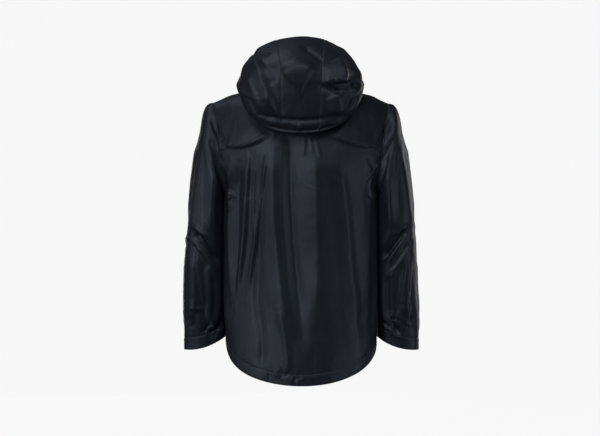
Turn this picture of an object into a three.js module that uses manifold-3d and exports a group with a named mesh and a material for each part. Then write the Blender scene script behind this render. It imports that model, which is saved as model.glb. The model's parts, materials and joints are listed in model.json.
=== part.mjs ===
// Hooded hardshell jacket, hanging by its neck loop. Millimetres, +Z up, back of the jacket towards +Y,
// the wearer's left towards +X. Panels are thin closed shells built on shared surface formulas.
import * as THREE from 'three';
import { mergeVertices } from 'three/addons/utils/BufferGeometryUtils.js';
import Module from 'manifold-3d';

const wasm = await Module();
wasm.setup();

// ---- Driving dimensions -------------------------------------------------------------------------
const CLOTH = 2.0;              // thickness of a panel with its lining
const SEAM_GAP = 0.3;           // each panel stops this far short of its seam
const LOOP_Y = 66;              // distance of the hanger loop behind the middle of the neck
const UNDERARM_Z = -268;
const SIDE_HEM_Z = -650;
const BACK_DROP = 114;          // how far the hem dips below the side hem, at the back and the front
const FRONT_DROP = 50;
const HEM_BAND = 30;
const HALF_WIDTH_TOP = 207;     // half width of the body at the underarm and at the side hem
const HALF_WIDTH_HEM = 203;
const ROLL_Z = -150;            // above this height the body rolls over towards the shoulder ridge
const ARM_X_TOP = 237;          // armhole, at the shoulder tip
const ARM_CUT = 0.46;
const NECK_X = 78;              // half width of the neck opening
const NECK_SIDE_Z = 31;
const NECK_FRONT_Z = -12;
const ROUND = 0.9;              // below 1 makes the body's section a little boxy
const ZIP_LEAN = 0.032;         // the front edge leans back this much for each unit of height
const ZIP_DEPTH = 102;
const TAPE_INNER = 3.4;
const TAPE_OUTER = 11.4;
const FRONT_EDGE = 12;
const COIL_HALF = 2.8;
const STRAP = 1.4;              // the hanger loop's strap: thickness and width
const STRAP_WIDTH = 6;
const ZIP_BOTTOM = -690;
const ZIP_TOP = 66;

// Height of the yoke seams, as angles round the armhole from its top.
const BACK_YOKE_ANGLE = 91.5;
const BACK_YOKE_RISE = 22.7;
const FRONT_YOKE_ANGLE = 76;

const HOOD_HIP = 0.42;          // where along its height each hood arch is widest

// Hood arches from the face edge to the neck seam: centreline [y, z], foot [x, y, z], greatest half
// width, half width of the centre strip.
const HOOD = [
  [-122, 122, 10, -103, 74, 90, 60],
  [-84, 152, 34, -96, 66, 108, 66],
  [-28, 169, 56, -76, 58, 124, 69],
  [36, 173, 72, -46, 48, 136, 68],
  [102, 156, 81, -12, 40, 147, 66],
  [158, 118, 82, 15, 36, 157, 62],
  [194, 66, 78, 38, 32, 165, 58],
  [211, 8, 70, 56, 25, 169, 54],
  [208, -48, 59, 70, 18, 158, 52],
  [184, -94, 45, 81, 12, 136, 46],
  [160, -88, 31, 88, 8, 110, 40],
  [128, -40, 17, 92, 6, 60, 26],
  [106, -12, 11, 94, 5, 24, 11],
];

// Sleeve rings from the armhole to the cuff: outer point [x, z], inner point [x, z], half depth,
// forward shift.
const SLEEVE = [
  [237, -3, 207, -268, 73, 0],
  [262, -32, 208, -272, 76, 0],
  [276, -92, 209, -277, 77, 1],
  [287, -150, 209, -284, 76, 2],
  [298, -232, 209, -300, 73, 4],
  [307, -320, 208, -340, 69, 7],
  [313, -395, 207, -400, 65, 10],
  [317, -480, 207, -478, 60, 19],
  [319, -570, 207, -555, 53, 29],
  [319.5, -645, 208, -603, 44, 36],
  [319.5, -677, 209, -632, 42, 38],
];
const ELBOW_RING = 6;
const CUFF_RING = 9;
const LAST_RING = 10;

// ---- Materials ----------------------------------------------------------------------------------
function finish(color, roughness, metalness = 0) {
  return () => new THREE.MeshStandardMaterial({ color, roughness, metalness });
}
const shell = finish(0x22262c, 0.55);
const lining = finish(0x15181c, 0.9);
const zipTape = finish(0x14161a, 0.6);
const zipCoil = finish(0x0c0d10, 0.4);
const sliderMetal = finish(0x1a1b1e, 0.35, 0.7);
const moulded = finish(0x121316, 0.5);
const elastic = finish(0x101114, 0.8);

const jacket = new THREE.Group();
const body = new THREE.Group();
body.position.y = -LOOP_Y;
jacket.add(body);

function addPiece(name, geometry, material, parent = body) {
  const piece = new THREE.Mesh(geometry, material());
  piece.name = name;
  parent.add(piece);
  return piece;
}

// ---- Helpers ------------------------------------------------------------------------------------
const lerp = (a, b, t) => a + (b - a) * t;
const radians = THREE.MathUtils.degToRad;
const power = (value, exponent) => Math.sign(value) * Math.abs(value) ** exponent;

function smooth(t) {
  const c = Math.min(1, Math.max(0, t));
  return c * c * (3 - 2 * c);
}

function steps(from, to, count) {
  return Array.from({ length: count + 1 }, (_, i) => lerp(from, to, i / count));
}

// Catmull-Rom interpolation through rows of numbers.
function between(rows, position) {
  const last = rows.length - 1;
  const i = Math.min(last - 1, Math.max(0, Math.floor(position)));
  const t = position - i;
  const row = (k) => rows[Math.min(last, Math.max(0, k))];
  return rows[i].map((_, c) => {
    const [a, b, d, e] = [row(i - 1)[c], row(i)[c], row(i + 1)[c], row(i + 2)[c]];
    return b + 0.5 * t * (d - a + t * (2 * a - 5 * b + 4 * d - e + t * (3 * (b - d) + e - a)));
  });
}

function signedVolume(positions, faces) {
  const [a, b, c] = [new THREE.Vector3(), new THREE.Vector3(), new THREE.Vector3()];
  let volume = 0;
  for (let f = 0; f < faces.length; f += 3) {
    a.fromArray(positions, faces[f] * 3);
    b.fromArray(positions, faces[f + 1] * 3);
    c.fromArray(positions, faces[f + 2] * 3);
    volume += a.dot(b.cross(c));
  }
  return volume;
}

function surfaceNormal(pointAt, u, v, du, dv) {
  const alongU = pointAt(u + du, v).sub(pointAt(u - du, v));
  const alongV = pointAt(u, v + dv).sub(pointAt(u, v - dv));
  return alongU.cross(alongV).normalize();
}

// A closed shell on a grid of surface points. outward is 1 or -1 and says which way the surface's own
// normal faces; the cloth lies from `lift` above the surface down to lift - thickness.
function panel(pointAt, us, vs, outward, thickness = CLOTH, lift = 0) {
  const du = Math.abs(us[us.length - 1] - us[0]) * 1e-3;
  const dv = Math.abs(vs[vs.length - 1] - vs[0]) * 1e-3;
  const positions = [];
  for (const level of [lift, lift - thickness]) {
    for (const v of vs) {
      for (const u of us) {
        const insideU = Math.min(us.at(-1) - du, Math.max(us[0] + du, u));
        const insideV = Math.min(Math.max(...vs) - dv, Math.max(Math.min(...vs) + dv, v));
        const normal = surfaceNormal(pointAt, insideU, insideV, du, dv);
        positions.push(...pointAt(u, v).addScaledVector(normal, outward * level).toArray());
      }
    }
  }
  const columns = us.length;
  const layer = columns * vs.length;
  const faces = [];
  const quad = (a, b, c, d) => faces.push(a, b, c, a, c, d);
  for (let r = 0; r < vs.length - 1; r += 1) {
    for (let c = 0; c < columns - 1; c += 1) {
      const k = r * columns + c;
      quad(k, k + 1, k + columns + 1, k + columns);
      quad(layer + k + columns, layer + k + columns + 1, layer + k + 1, layer + k);
    }
  }
  const rim = (a, b) => quad(b, a, layer + a, layer + b);
  const top = layer - columns;
  for (let c = 0; c < columns - 1; c += 1) {
    rim(c, c + 1);
    rim(top + c + 1, top + c);
  }
  for (let r = 0; r < vs.length - 1; r += 1) {
    rim((r + 1) * columns, r * columns);
    rim(r * columns + columns - 1, (r + 1) * columns + columns - 1);
  }
  if (signedVolume(positions, faces) < 0) {
    faces.reverse();
  }
  const geometry = new THREE.BufferGeometry();
  geometry.setAttribute('position', new THREE.Float32BufferAttribute(positions, 3));
  geometry.setIndex(faces);
  return geometry;
}

function toSolid(geometry) {
  const plain = geometry.clone();
  plain.deleteAttribute('normal');
  plain.deleteAttribute('uv');
  const merged = mergeVertices(plain, 1e-4);
  return new wasm.Manifold(new wasm.Mesh({
    numProp: 3,
    vertProperties: new Float32Array(merged.attributes.position.array),
    triVerts: new Uint32Array(merged.index.array),
  }));
}

function toGeometry(solid) {
  const mesh = solid.getMesh();
  const geometry = new THREE.BufferGeometry();
  geometry.setAttribute('position', new THREE.BufferAttribute(mesh.vertProperties, 3));
  geometry.setIndex(new THREE.BufferAttribute(mesh.triVerts, 1));
  return geometry;
}

// A box from its lowest to its highest corner.
function block(low, high) {
  const size = high.map((value, i) => value - low[i]);
  const box = new THREE.BoxGeometry(...size);
  box.translate(...low.map((value, i) => (value + high[i]) / 2));
  return toSolid(box);
}

// A group whose Y points into the cloth at a surface point and whose Z runs along `up`.
function seatOn(origin, outwardNormal, up) {
  const inward = outwardNormal.clone().negate();
  const across = new THREE.Vector3().crossVectors(inward, up).normalize();
  const along = new THREE.Vector3().crossVectors(across, inward);
  const seat = new THREE.Group();
  seat.position.copy(origin);
  seat.quaternion.setFromRotationMatrix(new THREE.Matrix4().makeBasis(across, inward, along));
  body.add(seat);
  return seat;
}

// ---- Body surface -------------------------------------------------------------------------------
// s runs from -1 to 1 across one face of the body, side seam to side seam. v is -1 at the hem, 0 at the
// underarm and 1 at the shoulder ridge; above the underarm it is the angle round the armhole.
function ridgeHeight(x) {
  return 38 - 0.05 * x - 0.00052 * x * x;
}

function halfDepth(face, z) {
  if (face < 0) {
    return ZIP_DEPTH - ZIP_LEAN * z;
  }
  const waist = Math.exp(-(((z + 450) / 170) ** 2));
  return 146 - 18 * waist - 8 * smooth((ROLL_Z - z) / 500);
}

function bodyPoint(face, s, v) {
  const a = Math.abs(s);
  const side = Math.sign(s);
  if (v <= 0) {
    const angle = (a * Math.PI) / 2;
    const drop = face > 0 ? BACK_DROP : FRONT_DROP;
    const hem = SIDE_HEM_Z - drop * Math.cos(angle) ** 0.7;
    const z = lerp(UNDERARM_Z, hem, -v);
    const width = lerp(HALF_WIDTH_TOP, HALF_WIDTH_HEM, (UNDERARM_Z - z) / (UNDERARM_Z - SIDE_HEM_Z));
    const y = face * halfDepth(face, z) * Math.max(0, Math.cos(angle)) ** ROUND;
    return new THREE.Vector3(side * width * Math.sin(angle), y, z);
  }
  const phi = Math.PI * (1 - v);
  const rise = (1 + Math.cos(phi)) / 2;
  const armX = HALF_WIDTH_TOP + (ARM_X_TOP - HALF_WIDTH_TOP) * rise ** 1.3;
  const armAngle = Math.acos(ARM_CUT * (phi > Math.PI / 2 ? Math.sin(phi) : 1));
  const angle = a * armAngle;
  const x = (armX * Math.sin(angle)) / Math.sin(armAngle);
  const neck = Math.min(1, x / NECK_X);
  const neckHeight = face > 0
    ? NECK_SIDE_Z * neck ** 2.5
    : lerp(NECK_FRONT_Z, NECK_SIDE_Z, neck ** 2);
  const top = x < NECK_X ? neckHeight : ridgeHeight(x);
  const z = lerp(UNDERARM_Z, top, rise);
  const climb = Math.min(1, Math.max(0, (z - ROLL_Z) / (ridgeHeight(x) - ROLL_Z)));
  let roll = Math.sqrt(1 - climb * climb);
  if (face < 0) {
    roll = lerp(1, roll, smooth(x / NECK_X));
  }
  const y = face * halfDepth(face, z) * Math.cos(angle) ** ROUND * roll;
  return new THREE.Vector3(side * x, y, z);
}

const TOP_ARM_ANGLE = Math.acos(ARM_CUT);
const NECK_S = Math.asin((NECK_X * Math.sin(TOP_ARM_ANGLE)) / ARM_X_TOP) / TOP_ARM_ANGLE;
const S_GAP = 0.0016;            // SEAM_GAP as a step of s
const V_GAP = 0.0011;            // SEAM_GAP as a step of v
const NARROWEST_SPREAD = 268;    // least distance that one unit of s spans at the front edge
const RIDGE_GAP = 0.008;         // keeps the front and back yokes apart along the shoulder seam
const INNER_S = steps(0, NECK_S - S_GAP, 3);
const OUTER_S = [...steps(NECK_S + S_GAP, 0.999, 6)];

const mirrored = (values) => [...values.slice(1).map((value) => -value).reverse(), ...values];

function backYokeV(s) {
  const out = Math.max(0, (Math.abs(s) - NECK_S) / (1 - NECK_S));
  return 1 - (BACK_YOKE_ANGLE - BACK_YOKE_RISE * (1 - out) ** 4) / 180;
}

function bandV(face, s) {
  const drop = face > 0 ? BACK_DROP : FRONT_DROP;
  const hem = SIDE_HEM_Z - drop * Math.cos((Math.abs(s) * Math.PI) / 2) ** 0.7;
  return -1 + HEM_BAND / (UNDERARM_Z - hem);
}

// A body panel between two seams, each given as v for an s; w runs from 0 at the lower to 1 at the upper.
function bodyPanel(face, columns, rows, lowerV, upperV, thickness = CLOTH) {
  const pointAt = (s, w) => bodyPoint(face, s, lerp(lowerV(s), upperV(s), w));
  return panel(pointAt, columns, rows, -face, thickness);
}

const frontColumns = (side) => {
  const columns = [FRONT_EDGE / NARROWEST_SPREAD, 0.14, ...steps(NECK_S, 0.999, 6)];
  return side > 0 ? columns : columns.map((value) => -value).reverse();
};

function addBody() {
  const backColumns = mirrored([...INNER_S, ...OUTER_S]);
  const lowerRows = [0, 0.18, 0.36, 0.54, 0.68, 0.78, 0.86, 0.93, 1];
  addPiece('back_panel', bodyPanel(1, backColumns, lowerRows,
    (s) => bandV(1, s) + V_GAP, (s) => backYokeV(s) - V_GAP), shell);
  addPiece('back_neck_panel', bodyPanel(1, mirrored(INNER_S), steps(0, 1, 4),
    () => backYokeV(0) + V_GAP, () => 1), shell);
  addPiece('back_hem_tunnel', bodyPanel(1, backColumns, [0, 1], () => -1,
    (s) => bandV(1, s) - V_GAP, CLOTH + 0.6), shell);
  for (const [label, side] of [['left', 1], ['right', -1]]) {
    const outer = side > 0 ? OUTER_S : OUTER_S.map((value) => -value).reverse();
    const front = frontColumns(side);
    const frontYoke = 1 - FRONT_YOKE_ANGLE / 180;
    addPiece(`${label}_back_yoke`, bodyPanel(1, outer, steps(0, 1, 5),
      (s) => backYokeV(s) + V_GAP, () => 1 - RIDGE_GAP), shell);
    addPiece(`${label}_front_yoke`, bodyPanel(-1, front, steps(0, 1, 6),
      () => frontYoke + V_GAP, (s) => 1 - RIDGE_GAP * smooth(Math.abs(s) / NECK_S)), shell);
    addPiece(`${label}_front_panel`, bodyPanel(-1, front, lowerRows,
      (s) => bandV(-1, s) + V_GAP, () => frontYoke - V_GAP), shell);
    addPiece(`${label}_front_hem_tunnel`, bodyPanel(-1, front, [0, 1], () => -1,
      (s) => bandV(-1, s) - V_GAP, CLOTH + 0.6), shell);
  }
}

// The elastic cord lies against the inside of the back hem tunnel from one side lock to the other.
function addHemCord() {
  const clearance = 5.2;
  const radius = 1.5;
  const route = steps(-0.82, 0.82, 16).map((s) => {
    const v = lerp(-1, bandV(1, s), 0.5);
    const normal = surfaceNormal((a, b) => bodyPoint(1, a, b), s, v, 1e-3, 1e-3);
    return bodyPoint(1, s, v).addScaledVector(normal, clearance * (normal.y > 0 ? -1 : 1));
  });
  const section = new THREE.Shape(steps(0, 1, 6).slice(0, 6).map((turn) => new THREE.Vector2(
    radius * Math.cos(turn * 2 * Math.PI), radius * Math.sin(turn * 2 * Math.PI))));
  addPiece('hem_cord', new THREE.ExtrudeGeometry(section, {
    steps: 36, extrudePath: new THREE.CatmullRomCurve3(route), bevelEnabled: false,
  }), elastic);
}

// ---- Sleeves ------------------------------------------------------------------------------------
// phi is 0 at the shoulder side of a ring, 90 degrees at the back, 180 at the body side.
function sleevePoint(side, ring, phi) {
  const [ox, oz, ix, iz, depth, forward] = between(SLEEVE, ring);
  const along = power(Math.cos(phi), ROUND);
  const x = (ox + ix) / 2 + ((ox - ix) / 2) * along;
  const z = (oz + iz) / 2 + ((oz - iz) / 2) * along;
  const y = depth * power(Math.sin(phi), ROUND) - forward;
  const point = new THREE.Vector3(x, y, z);
  const join = smooth(ring / 2);
  if (join < 1) {
    const turn = ((phi % (2 * Math.PI)) + 2 * Math.PI) % (2 * Math.PI);
    const face = turn <= Math.PI ? 1 : -1;
    const v = 1 - (face > 0 ? turn : 2 * Math.PI - turn) / Math.PI;
    const armhole = bodyPoint(face, 1, Math.min(0.9999, Math.max(0.0001, v)));
    point.lerp(armhole.addScaledVector(new THREE.Vector3(1, 0, -0.12), ring * 20), 1 - join);
  }
  point.x *= side;
  return point;
}

const forearmBackSeam = (ring) => radians(lerp(64, 98, smooth((ring - ELBOW_RING) / 3)));
const forearmFrontSeam = (ring) => radians(lerp(-62, -84, smooth((ring - ELBOW_RING) / 3)));

function sleevePanel(side, rings, fromPhi, toPhi, count, thickness = CLOTH, lift = 0) {
  const pointAt = (w, ring) => sleevePoint(side, ring, lerp(fromPhi(ring), toPhi(ring), w));
  return panel(pointAt, steps(0, 1, count), rings, -side, thickness, lift);
}

function addSleeve(label, side) {
  const seam = 0.006;             // a seam gap as an angle
  const ringGap = 0.006;
  const underarm = Math.PI;
  const whole = [() => underarm - 2 * Math.PI + seam, () => underarm - seam];
  const upperRings = [0.03, 0.5, 1, 2, 3, 4, 5, ELBOW_RING - ringGap];
  const forearmRings = [ELBOW_RING + ringGap, 7, 8, CUFF_RING - ringGap];
  addPiece(`${label}_upper_sleeve`, sleevePanel(side, upperRings, ...whole, 20), shell);
  addPiece(`${label}_forearm_outer`, sleevePanel(side, forearmRings,
    (ring) => forearmFrontSeam(ring) + seam, (ring) => forearmBackSeam(ring) - seam, 8), shell);
  addPiece(`${label}_forearm_under`, sleevePanel(side, forearmRings,
    (ring) => forearmBackSeam(ring) + seam,
    (ring) => forearmFrontSeam(ring) + 2 * Math.PI - seam, 11), shell);
  const cuffRings = [CUFF_RING + ringGap, LAST_RING];
  addPiece(`${label}_cuff`, sleevePanel(side, cuffRings, ...whole, 20, CLOTH + 0.6), shell);
  const tabRings = [9.25, 9.8];
  addPiece(`${label}_cuff_tab`, sleevePanel(side, tabRings, () => radians(-80), () => radians(-18), 5,
    1.2, 2.2), moulded);
}

// ---- Hood ---------------------------------------------------------------------------------------
// a is the arch, 0 at the face edge; b runs over the arch from the right foot (-1) to the left (1).
function hoodArch(a) {
  const [gy, gz, fx, fy, fz, width, strip] = between(HOOD, a);
  const rise = new THREE.Vector3(0, gy - fy, gz - fz);
  return { foot: new THREE.Vector3(0, fy, fz), footX: fx, rise, width, strip };
}

function hoodPoint(a, b) {
  if (a < 0) {
    const edge = hoodPoint(0, b);
    const behind = hoodPoint(0.2, b);
    return edge.clone().add(edge.clone().sub(behind).multiplyScalar(-a / 0.2));
  }
  const arch = hoodArch(a);
  const tuck = Math.acos(Math.min(0.999, arch.footX / arch.width));
  const beta = Math.PI / 2 - Math.abs(b) * (Math.PI / 2 + tuck);
  const height = beta >= 0
    ? HOOD_HIP + (1 - HOOD_HIP) * Math.sin(beta)
    : HOOD_HIP * (1 + Math.sin(beta) / Math.sin(tuck));
  const point = arch.foot.clone().addScaledVector(arch.rise, height);
  point.x = Math.sign(b) * arch.width * Math.cos(beta);
  return point;
}

// The place on an arch of the seam between the centre strip and a side panel, shifted by `gap`.
function stripEdge(a, gap) {
  const arch = hoodArch(a);
  const tuck = Math.acos(Math.min(0.999, arch.footX / arch.width));
  const beta = Math.acos(Math.min(0.98, (arch.strip + gap) / arch.width));
  return (Math.PI / 2 - beta) / (Math.PI / 2 + tuck);
}

function addHood() {
  const arches = [0, 1, 2, 3, 4, 5, 6, 7, 8, 8.6, 9.2, 10, 11, 12];
  const strip = (w, a) => hoodPoint(a, lerp(-1, 1, w) * stripEdge(a, -SEAM_GAP));
  addPiece('hood_centre_panel', panel(strip, steps(0, 1, 4), arches, 1), shell);
  for (const [label, side] of [['left', 1], ['right', -1]]) {
    const cheek = (w, a) => hoodPoint(a, side * lerp(stripEdge(a, SEAM_GAP), 1, w));
    addPiece(`hood_${label}_panel`, panel(cheek, steps(0, 1, 9), arches, side), shell);
  }
  const edge = (w, a) => hoodPoint(a, w);
  addPiece('hood_face_binding', panel(edge, steps(-0.95, 0.95, 22), [-0.19, -0.05], 1, 2.6), elastic);
  const peakHalf = 0.36;
  const peak = (w, t) => {
    const reach = 0.12 + 0.42 * Math.cos((w * Math.PI) / 2) ** 0.8;
    return hoodPoint(-0.215 - reach * t, w * peakHalf);
  };
  addPiece('hood_peak', panel(peak, steps(-0.94, 0.94, 10), [0, 0.5, 1], -1, 2.4), shell);
  const patch = (w, a) => hoodPoint(a, w);
  addPiece('hood_adjuster_patch', panel(patch, steps(-0.5, -0.2, 4), [6.4, 6.95], 1, 0.9, 1.6),
    moulded);
}

// ---- Collar, hanger loop and label --------------------------------------------------------------
function addCollar() {
  for (const [label, side] of [['left', 1], ['right', -1]]) {
    const stand = (u, w) => {
      const top = between(HOOD, 4 * u).slice(2, 5);
      const x = lerp(FRONT_EDGE + 1, NECK_X - 1.5, u);
      const s = Math.asin((x * Math.sin(TOP_ARM_ANGLE)) / ARM_X_TOP) / TOP_ARM_ANGLE;
      const base = bodyPoint(-1, s, 1).add(new THREE.Vector3(0, 0, 1.2));
      const upper = new THREE.Vector3(Math.max(FRONT_EDGE + 1, top[0]), top[1], top[2] - 3.2);
      const point = base.lerp(upper, w);
      point.x *= side;
      return point;
    };
    addPiece(`${label}_collar`, panel(stand, steps(0, 1, 7), steps(0, 1, 2), side), shell);
  }
  const backStand = (turn, z) => new THREE.Vector3(70 * Math.sin(turn), 81 * Math.cos(turn), z);
  addPiece('inner_back_collar', panel(backStand, steps(-1.3, 1.3, 12), [-6, 20, 46], -1), lining);
  addPiece('neck_label', panel(backStand, steps(-0.3, 0.3, 4), [14, 34], -1, 0.8, -2.9), elastic);
}

function addHangerLoop() {
  const outline = [[-27, 5.6], [-20, 4.2], [-10, 0.8], [0, 0], [10, 0.8], [20, 4.2], [27, 5.6]];
  const front = outline.map(([x, y]) => [x, LOOP_Y - STRAP + y]);
  const back = outline.map(([x, y]) => [x, LOOP_Y + y]).reverse();
  const shape = new THREE.Shape([...front, ...back].map(([x, y]) => new THREE.Vector2(x, y)));
  const strap = new THREE.ExtrudeGeometry(shape, { depth: STRAP_WIDTH, bevelEnabled: false });
  strap.translate(0, 0, -STRAP_WIDTH / 2);
  addPiece('hanger_loop', strap, elastic);
}

// ---- Zips ---------------------------------------------------------------------------------------
// A slider in its own frame: Z along the coil, +Y into the cloth, its back face on Y = 0.
function sliderSolid(scale) {
  const plate = block([-4.4, -2.4, -6.5], [4.4, 0, 6.5]);
  const foot = block([-1.1, -5.6, 4.6], [1.1, -2, 6]);
  const heel = block([-1.1, -5.6, -3.4], [1.1, -2, -2]);
  const bridge = block([-1.1, -6.4, -3.4], [1.1, -5.2, 6]);
  return toGeometry(plate.add(foot).add(heel).add(bridge)).scale(scale, scale, scale);
}

// The puller hangs from its crossbar under the bridge.
function pullerSolid(scale) {
  const plate = block([-3.6, -4.4, -26], [3.6, -3.2, 3]);
  const eye = block([-2, -5, -7], [2, -2.5, 1.8]);
  const grip = block([-4.2, -4.9, -25], [4.2, -2.8, -11]);
  return toGeometry(plate.subtract(eye).add(grip)).scale(scale, scale, scale);
}

function addMainZip() {
  const low = new THREE.Vector3(0, -ZIP_DEPTH + ZIP_LEAN * ZIP_BOTTOM, ZIP_BOTTOM);
  const along = new THREE.Vector3(0, ZIP_LEAN, 1).normalize();
  const outward = new THREE.Vector3(0, -1, ZIP_LEAN).normalize();
  const seat = seatOn(low, outward, along);
  const length = (ZIP_TOP - ZIP_BOTTOM) / along.z;
  addPiece('left_zip_tape', toGeometry(block([TAPE_INNER, 0.2, 0], [TAPE_OUTER, 1.6, length])),
    zipTape, seat);
  addPiece('right_zip_tape', toGeometry(block([-TAPE_OUTER, 0.2, 0], [-TAPE_INNER, 1.6, length])),
    zipTape, seat);
  addPiece('zip_coil', toGeometry(block([-COIL_HALF, -0.8, 6], [COIL_HALF, 1.6, length])), zipCoil, seat);
  addPiece('zip_bottom_box', toGeometry(block([-COIL_HALF - 0.2, -1.6, -6], [COIL_HALF + 0.2, 1.8, 5.6])),
    moulded, seat);
  const car = new THREE.Group();
  car.position.set(0, -1.2, length - 8);
  seat.add(car);
  addPiece('zip_slider', sliderSolid(1), sliderMetal, car);
  addPiece('zip_puller', pullerSolid(1), moulded, car);
}

// A pocket zip on the front between two body points: a taped coil with a slider and a puller.
function addPocketZip(name, from, to) {
  const low = bodyPoint(-1, ...from);
  const high = bodyPoint(-1, ...to);
  const along = high.clone().sub(low);
  const length = along.length();
  const middle = [(from[0] + to[0]) / 2, (from[1] + to[1]) / 2];
  const normal = surfaceNormal((s, v) => bodyPoint(-1, s, v), ...middle, 1e-3, 1e-3);
  normal.multiplyScalar(normal.y < 0 ? 1 : -1);
  const seat = seatOn(low, normal, along.normalize());
  const tape = block([-6, -2.2, 0], [6, -1.1, length]);
  const coil = block([-2, -2.9, 3], [2, -2, length - 3]);
  addPiece(`${name}_zip`, toGeometry(tape.add(coil)), zipTape, seat);
  const car = new THREE.Group();
  car.position.set(0, -3.3, length - 10);
  seat.add(car);
  addPiece(`${name}_zip_slider`, sliderSolid(0.8), sliderMetal, car);
  addPiece(`${name}_zip_puller`, pullerSolid(0.8), moulded, car);
}

// ---- Cord locks ---------------------------------------------------------------------------------
// The button slides into the lock along -X; the cord hole runs through both along Z.
function addCordLock(name, seat) {
  const cordHole = block([-1.6, -5.6, -9], [1.6, -2.4, 9]);
  const lockBody = block([-7, -7.6, -6], [7, -0.6, 6]).subtract(block([-5, -6, -4.4], [8, -2, 4.4]));
  const stem = block([-1.2, -5.6, -4], [10.8, -2.4, 4]);
  const cap = block([10.4, -6.6, -5], [13, -1.4, 5]);
  const slot = block([-0.4, -6, -5], [3.6, -2, -1.2]);
  addPiece(`${name}_lock`, toGeometry(lockBody.subtract(cordHole)), moulded, seat);
  addPiece(`${name}_lock_button`, toGeometry(stem.subtract(slot).add(cap)), moulded, seat);
}

function addCordLocks() {
  const up = new THREE.Vector3(0, 0, 1);
  const rear = [6.68, -0.36];
  const rearNormal = surfaceNormal(hoodPoint, ...rear, 1e-2, 1e-3);
  rearNormal.multiplyScalar(rearNormal.y > 0 ? 1 : -1);
  const rearSpot = hoodPoint(...rear).addScaledVector(rearNormal, 1.9);
  addCordLock('hood_rear', seatOn(rearSpot, rearNormal, up));
  for (const [label, side] of [['left', 1], ['right', -1]]) {
    const spot = [0.9, side * 0.93];
    const normal = surfaceNormal(hoodPoint, ...spot, 1e-2, 1e-3);
    normal.multiplyScalar(normal.x * side > 0 ? 1 : -1);
    const place = hoodPoint(...spot).addScaledVector(normal, 0.8);
    addCordLock(`${label}_face`, seatOn(place, normal, up));
    const hemSpot = [side * 0.72, lerp(-1, bandV(-1, 0.72), 0.5)];
    const hemNormal = surfaceNormal((s, v) => bodyPoint(-1, s, v), ...hemSpot, 1e-3, 1e-3);
    hemNormal.multiplyScalar(hemNormal.y < 0 ? -1 : 1);
    const hemPlace = bodyPoint(-1, ...hemSpot).addScaledVector(hemNormal, CLOTH + 1.4);
    addCordLock(`${label}_hem`, seatOn(hemPlace, hemNormal, up));
  }
}

addBody();
addHemCord();
addSleeve('left', 1);
addSleeve('right', -1);
addHood();
addCollar();
addHangerLoop();
addMainZip();
addPocketZip('left_hand_pocket', [0.4, -0.88], [0.4, -0.42]);
addPocketZip('right_hand_pocket', [-0.4, -0.88], [-0.4, -0.42]);
addPocketZip('chest_pocket', [0.24, -0.12], [0.24, 0.36]);
addCordLocks();

export default jacket;
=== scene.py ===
"""Looks of the hooded hardshell jacket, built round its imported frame. Metres, +Z up, back towards +Y."""
import json
import math

import bpy
import numpy as np
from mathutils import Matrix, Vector


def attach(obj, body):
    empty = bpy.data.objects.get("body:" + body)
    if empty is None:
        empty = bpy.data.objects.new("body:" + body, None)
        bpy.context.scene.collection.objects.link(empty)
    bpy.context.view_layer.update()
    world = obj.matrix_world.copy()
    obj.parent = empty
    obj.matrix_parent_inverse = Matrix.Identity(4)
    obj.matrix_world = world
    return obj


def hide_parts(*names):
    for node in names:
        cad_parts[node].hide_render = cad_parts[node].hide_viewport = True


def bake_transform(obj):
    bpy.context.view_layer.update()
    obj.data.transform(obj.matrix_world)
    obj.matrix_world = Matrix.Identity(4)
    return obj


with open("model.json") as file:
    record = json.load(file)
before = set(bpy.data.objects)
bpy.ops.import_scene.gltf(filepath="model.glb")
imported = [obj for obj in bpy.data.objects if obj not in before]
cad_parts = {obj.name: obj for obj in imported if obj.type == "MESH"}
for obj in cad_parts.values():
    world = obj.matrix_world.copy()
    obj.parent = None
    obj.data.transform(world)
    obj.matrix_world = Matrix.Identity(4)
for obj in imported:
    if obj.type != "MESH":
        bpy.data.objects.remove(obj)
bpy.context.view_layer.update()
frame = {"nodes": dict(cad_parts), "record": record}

RNG = np.random.default_rng(7)

# ---- Driving dimensions, in millimetres about the middle of the neck, as the CAD has them ----
MM = 0.001
LOOP_Y = 66.0
UNDERARM_Z = -268.0
SIDE_HEM_Z = -650.0
BACK_DROP = 114.0
FRONT_DROP = 50.0
HEM_BAND = 30.0
HEM_ROUND = 0.8
WIDEN_OVER = 0.35
SIDE_SWELL = 6.0
SLEEVE_TUCK = 4.0
HEM_TUNNEL_DEPTH = 8.0
HALF_WIDTH_TOP = 207.0
HALF_WIDTH_HEM = 203.0
ROLL_Z = -150.0
ARM_X_TOP = 237.0
ARM_CUT = 0.46
NECK_X = 78.0
NECK_SIDE_Z = 31.0
NECK_FRONT_Z = -12.0
ROUND = 0.9
ZIP_LEAN = 0.032
ZIP_DEPTH = 102.0
ZIP_BOTTOM = -690.0
ZIP_TOP = 66.0
FRONT_EDGE = 10.5
NARROWEST_SPREAD = 268.0
BACK_YOKE_ANGLE = 91.5
BACK_YOKE_RISE = 22.7
FRONT_YOKE_ANGLE = 76.0
SEAM_S = 0.9995       # just short of the side seam and of the shoulder line
HOOD_HIP = 0.42
CLOTH = 1.1
GRID = 3.6

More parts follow.
